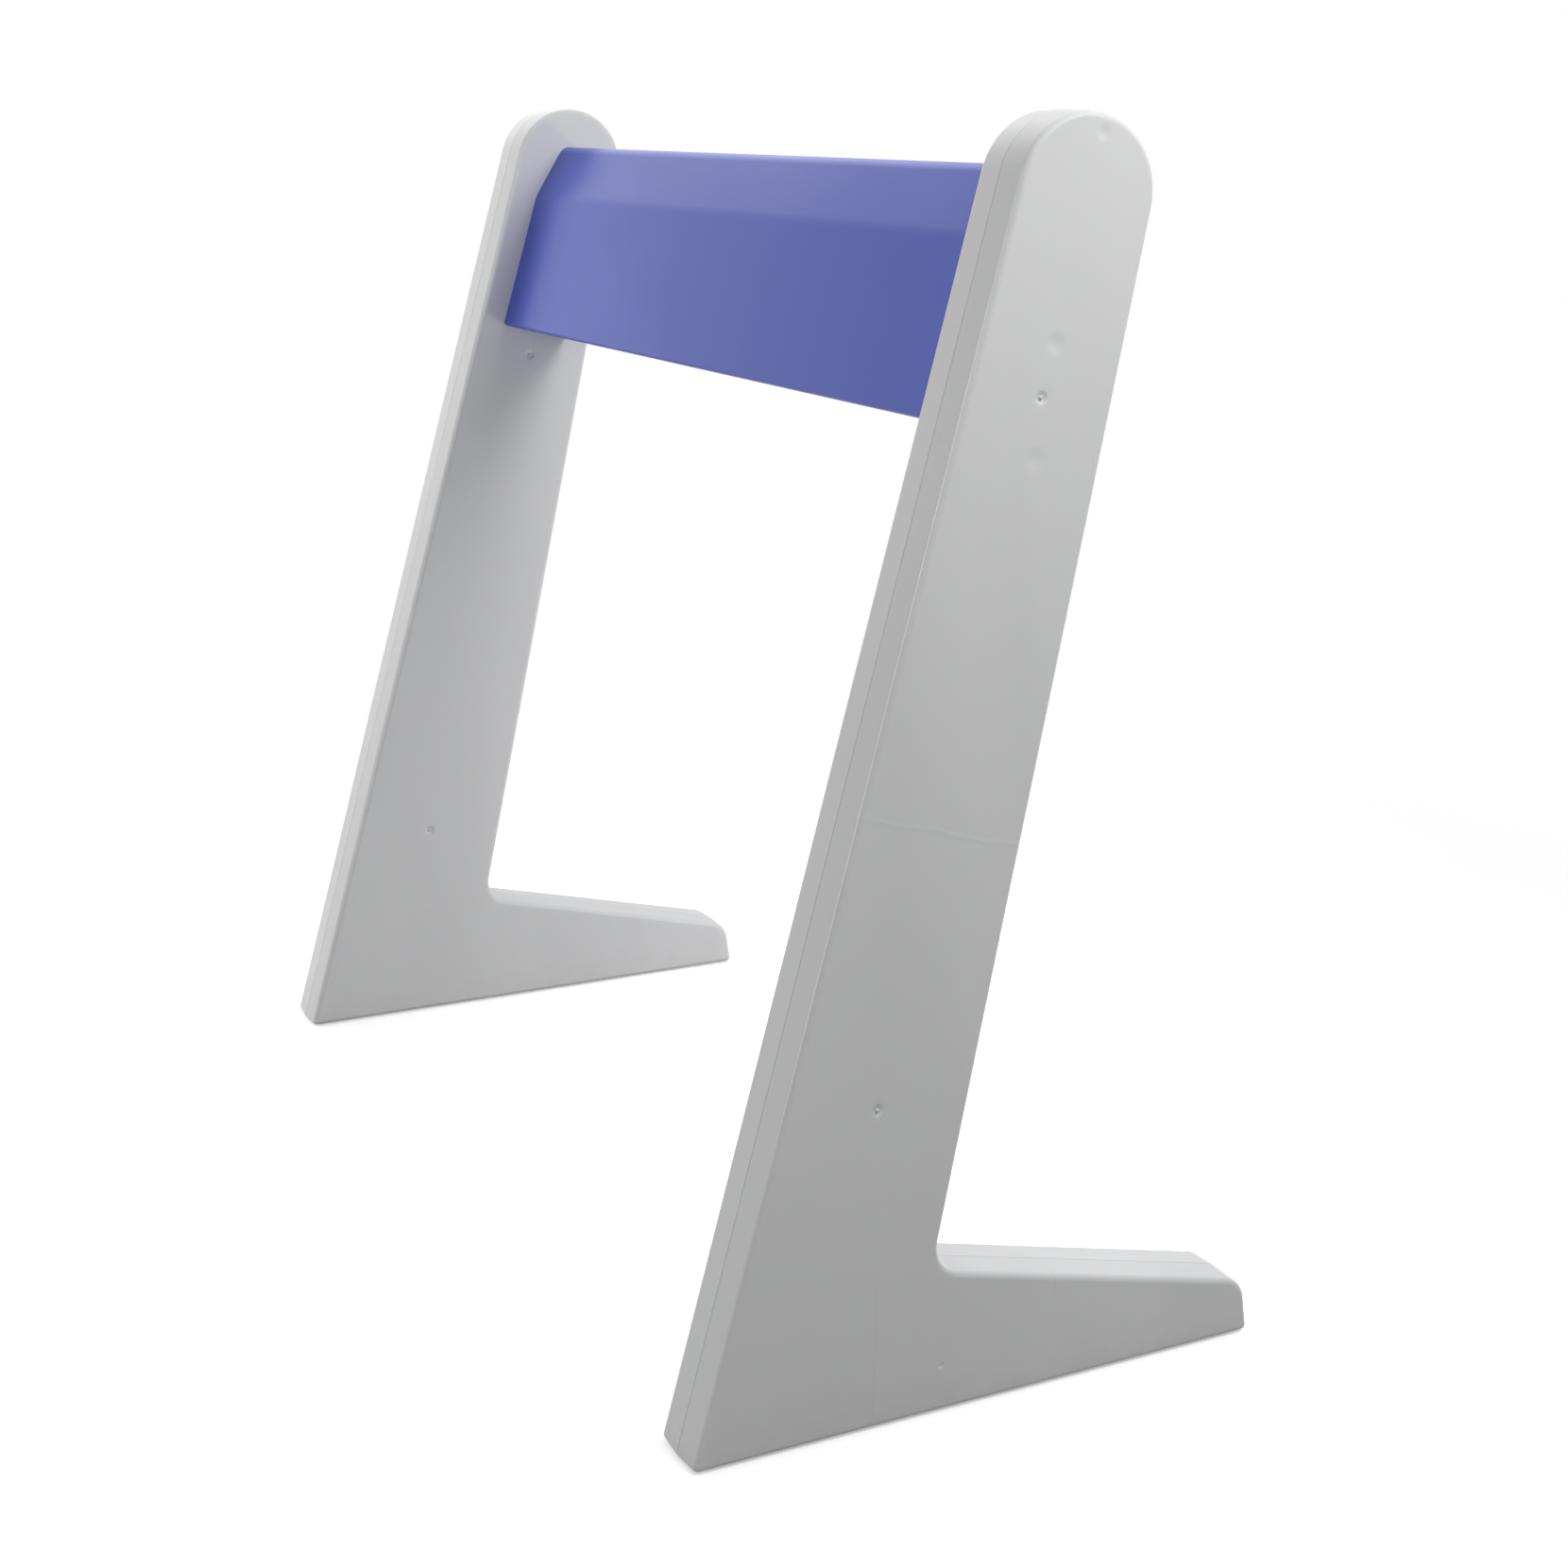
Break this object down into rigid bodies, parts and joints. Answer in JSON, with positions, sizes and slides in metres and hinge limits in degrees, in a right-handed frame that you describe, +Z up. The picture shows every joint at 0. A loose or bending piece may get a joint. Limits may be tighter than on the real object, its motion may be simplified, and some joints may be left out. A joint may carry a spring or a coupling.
{
  "type": "barricade",
  "caption": "Free-standing moulded-plastic barricade: a blue hollow rail between two leaning, L-shaped grey legs that stand on rubber pads.",
  "frame": {"origin": "on the floor, under the middle of the object", "axes": "+X along the rail, from the left leg to the right; +Y from the heels to the toes, so the rail's front faces -Y; +Z up"},
  "size_m": [1.045, 0.5133, 1.001],
  "materials": {
    "leg_grey": "satin moulded polypropylene",
    "rail_blue": "semi-gloss moulded polypropylene",
    "frame_grey": "glass-filled nylon",
    "zinc_steel": "zinc plated",
    "pad_rubber": "matt"
  },
  "bodies": {
    "root": {"right_leg_outer_shell": "leg_grey", "right_leg_inner_shell": "leg_grey", "left_leg_outer_shell": "leg_grey", "left_leg_inner_shell": "leg_grey", "right_leg_pins": "frame_grey", "left_leg_pins": "frame_grey", "rail_front_shell": "rail_blue", "rail_back_shell": "rail_blue", "rail_seam_screws": "zinc_steel", "right_rail_end_frame": "frame_grey", "left_rail_end_frame": "frame_grey", "right_rail_nuts": "zinc_steel", "left_rail_nuts": "zinc_steel", "right_clamp_plate": "zinc_steel", "left_clamp_plate": "zinc_steel", "right_rail_bolts": "zinc_steel", "left_rail_bolts": "zinc_steel", "right_heel_pad": "pad_rubber", "right_toe_pad": "pad_rubber", "left_heel_pad": "pad_rubber", "left_toe_pad": "pad_rubber"}
  },
  "joints": []
}
